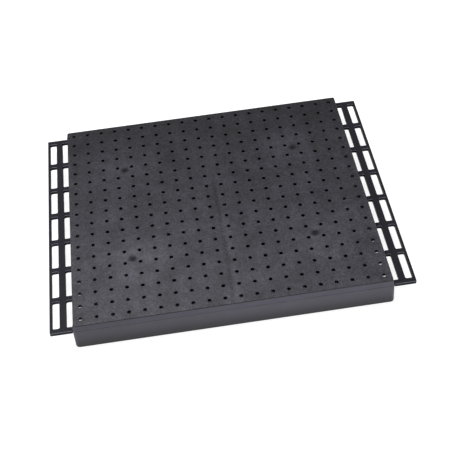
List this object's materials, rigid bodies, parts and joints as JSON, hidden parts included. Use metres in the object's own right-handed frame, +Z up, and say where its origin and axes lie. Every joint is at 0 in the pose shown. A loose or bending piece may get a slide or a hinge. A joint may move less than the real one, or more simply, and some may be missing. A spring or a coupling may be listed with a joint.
{
  "type": "perforated shelf deck",
  "caption": "Black plastic shelf deck for a retail gondola: a perforated raised top on front and rear skirts, with a lower slotted wing along each side.",
  "frame": {"origin": "on the floor, under the middle of the deck", "axes": "+X to the right along the front, -Y towards the front, +Z up"},
  "size_m": [0.5854, 0.4646, 0.0508],
  "materials": {
    "grained_plastic": "fine grain, matte black",
    "satin_plastic": "smooth satin black",
    "smooth_plastic": "smooth black"
  },
  "bodies": {
    "root": {"deck_panel": "grained_plastic", "front_skirt": "satin_plastic", "rear_skirt": "satin_plastic", "left_step_wall": "smooth_plastic", "right_step_wall": "smooth_plastic", "left_wing": "smooth_plastic", "right_wing": "smooth_plastic", "long_rib_1": "grained_plastic", "long_rib_2": "grained_plastic", "long_rib_3": "grained_plastic", "long_rib_4": "grained_plastic", "long_rib_5": "grained_plastic", "long_rib_6": "grained_plastic", "long_rib_7": "grained_plastic", "long_rib_8": "grained_plastic", "long_rib_9": "grained_plastic", "cross_rib_1": "grained_plastic", "cross_rib_2": "grained_plastic", "cross_rib_3": "grained_plastic", "cross_rib_4": "grained_plastic", "cross_rib_5": "grained_plastic", "cross_rib_6": "grained_plastic", "cross_rib_7": "grained_plastic", "cross_rib_8": "grained_plastic", "cross_rib_9": "grained_plastic", "cross_rib_10": "grained_plastic", "cross_rib_11": "grained_plastic", "cross_rib_12": "grained_plastic", "cross_rib_13": "grained_plastic", "cross_rib_14": "grained_plastic", "cross_rib_15": "grained_plastic", "cross_rib_16": "grained_plastic", "cross_rib_17": "grained_plastic"}
  },
  "joints": []
}
